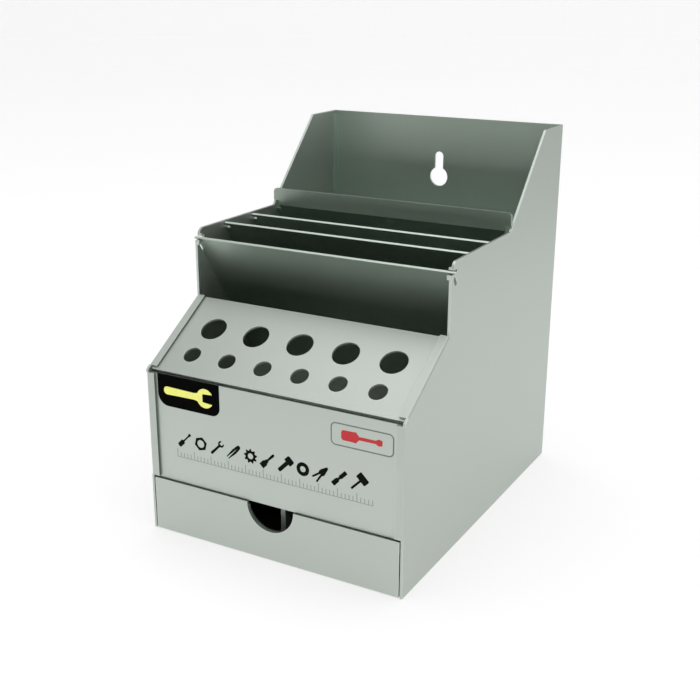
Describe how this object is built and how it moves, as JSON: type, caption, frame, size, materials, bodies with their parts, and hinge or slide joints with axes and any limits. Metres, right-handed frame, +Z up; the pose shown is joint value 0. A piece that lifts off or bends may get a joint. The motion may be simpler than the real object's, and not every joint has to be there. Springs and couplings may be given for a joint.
{
  "type": "desktop tool holder",
  "caption": "Stepped sheet-metal tool holder with a slanted hole panel, leaning racks, a rear bin with a keyhole and a drawer.",
  "frame": {"origin": "middle of the base, on the surface that the holder stands on", "axes": "+X to the right seen from the front, +Y from the drawer front to the back wall, +Z up"},
  "size_m": [0.1424, 0.184, 0.1906],
  "materials": {
    "painted_sheet": "satin"
  },
  "bodies": {
    "case": {"left_side": "painted_sheet", "right_side": "painted_sheet", "back_panel": "painted_sheet", "base_plate": "painted_sheet", "drawer_bay_roof": "painted_sheet", "front_panel": "painted_sheet", "hole_panel": "painted_sheet", "rack_floor": "painted_sheet", "rack_front": "painted_sheet", "divider_front": "painted_sheet", "divider_rear": "painted_sheet", "bin_front": "painted_sheet", "bin_floor": "painted_sheet"},
    "drawer": {"drawer_front": "painted_sheet", "drawer_tray": "painted_sheet", "drawer_divider": "painted_sheet"}
  },
  "joints": [
    {"name": "drawer_slide", "type": "slide", "parent": "case", "child": "drawer", "axis": [0, -1, 0], "range_m": [0, 0.13]}
  ]
}
